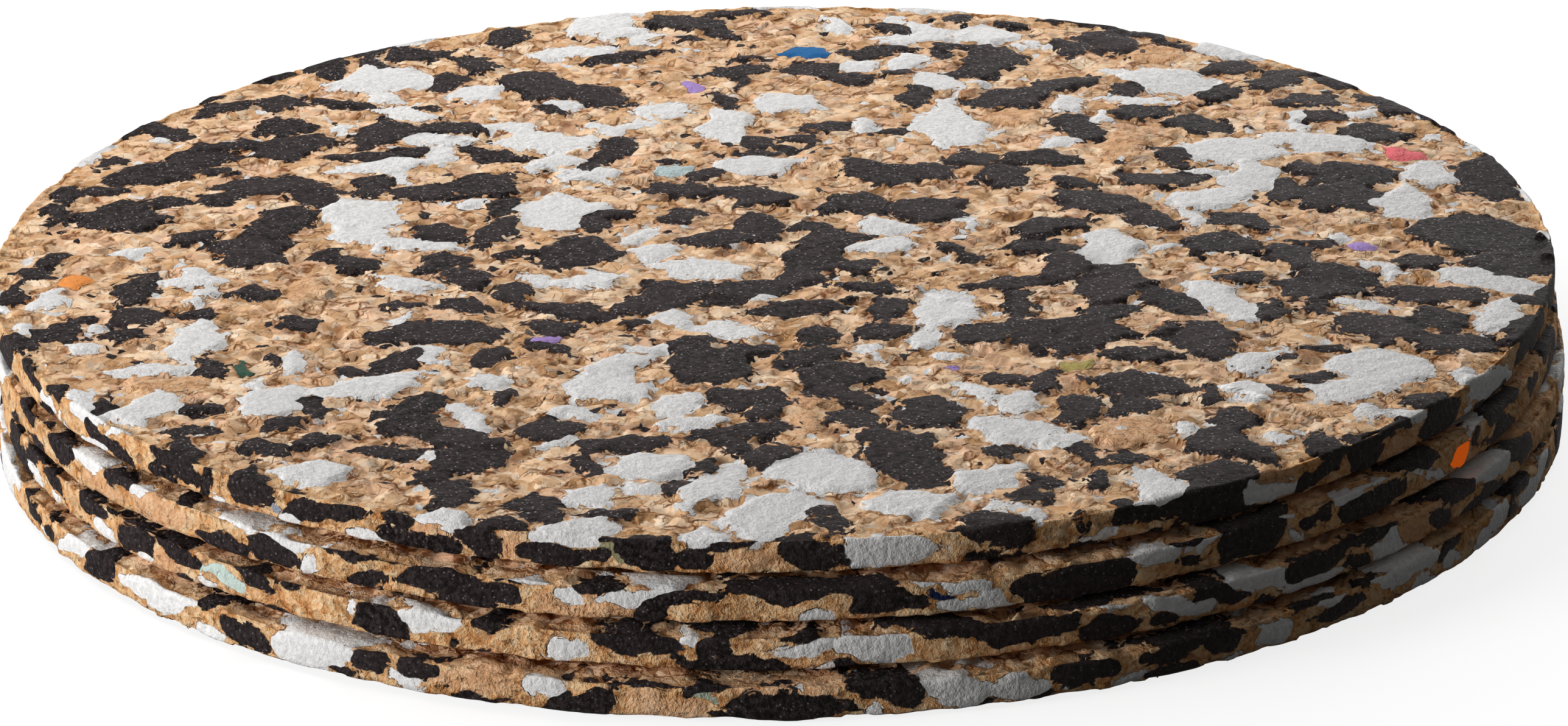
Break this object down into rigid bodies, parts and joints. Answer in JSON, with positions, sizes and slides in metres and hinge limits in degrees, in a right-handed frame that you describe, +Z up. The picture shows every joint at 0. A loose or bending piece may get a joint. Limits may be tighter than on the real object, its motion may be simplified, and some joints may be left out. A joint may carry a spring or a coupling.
{
  "type": "cork coaster set",
  "caption": "Loose stack of thin round coasters, stamped from a bonded sheet of cork granules with black and white foam chips; each lifts off to stand under a glass.",
  "frame": {"origin": "centre of the bottom coaster's underside, on the table", "axes": "+Z up through the stack, +Y towards the back, the way the stack leans, +X to the right"},
  "size_m": [0.1004, 0.1035, 0.0099],
  "materials": {
    "bonded_cork": "matte agglomerated cork with black and white foam chips, cut and unsealed"
  },
  "bodies": {
    "bottom_coaster": {"bottom_coaster": "bonded_cork"},
    "lower_coaster": {"lower_coaster": "bonded_cork"},
    "upper_coaster": {"upper_coaster": "bonded_cork"},
    "top_coaster": {"top_coaster": "bonded_cork"}
  },
  "joints": [
    {"name": "lower_coaster_lift", "type": "slide", "parent": "bottom_coaster", "child": "lower_coaster", "axis": [0, 0, 1], "range_m": [0, 0.04]},
    {"name": "upper_coaster_lift", "type": "slide", "parent": "lower_coaster", "child": "upper_coaster", "axis": [0, 0, 1], "range_m": [0, 0.04]},
    {"name": "top_coaster_lift", "type": "slide", "parent": "upper_coaster", "child": "top_coaster", "axis": [0, 0, 1], "range_m": [0, 0.04]}
  ]
}
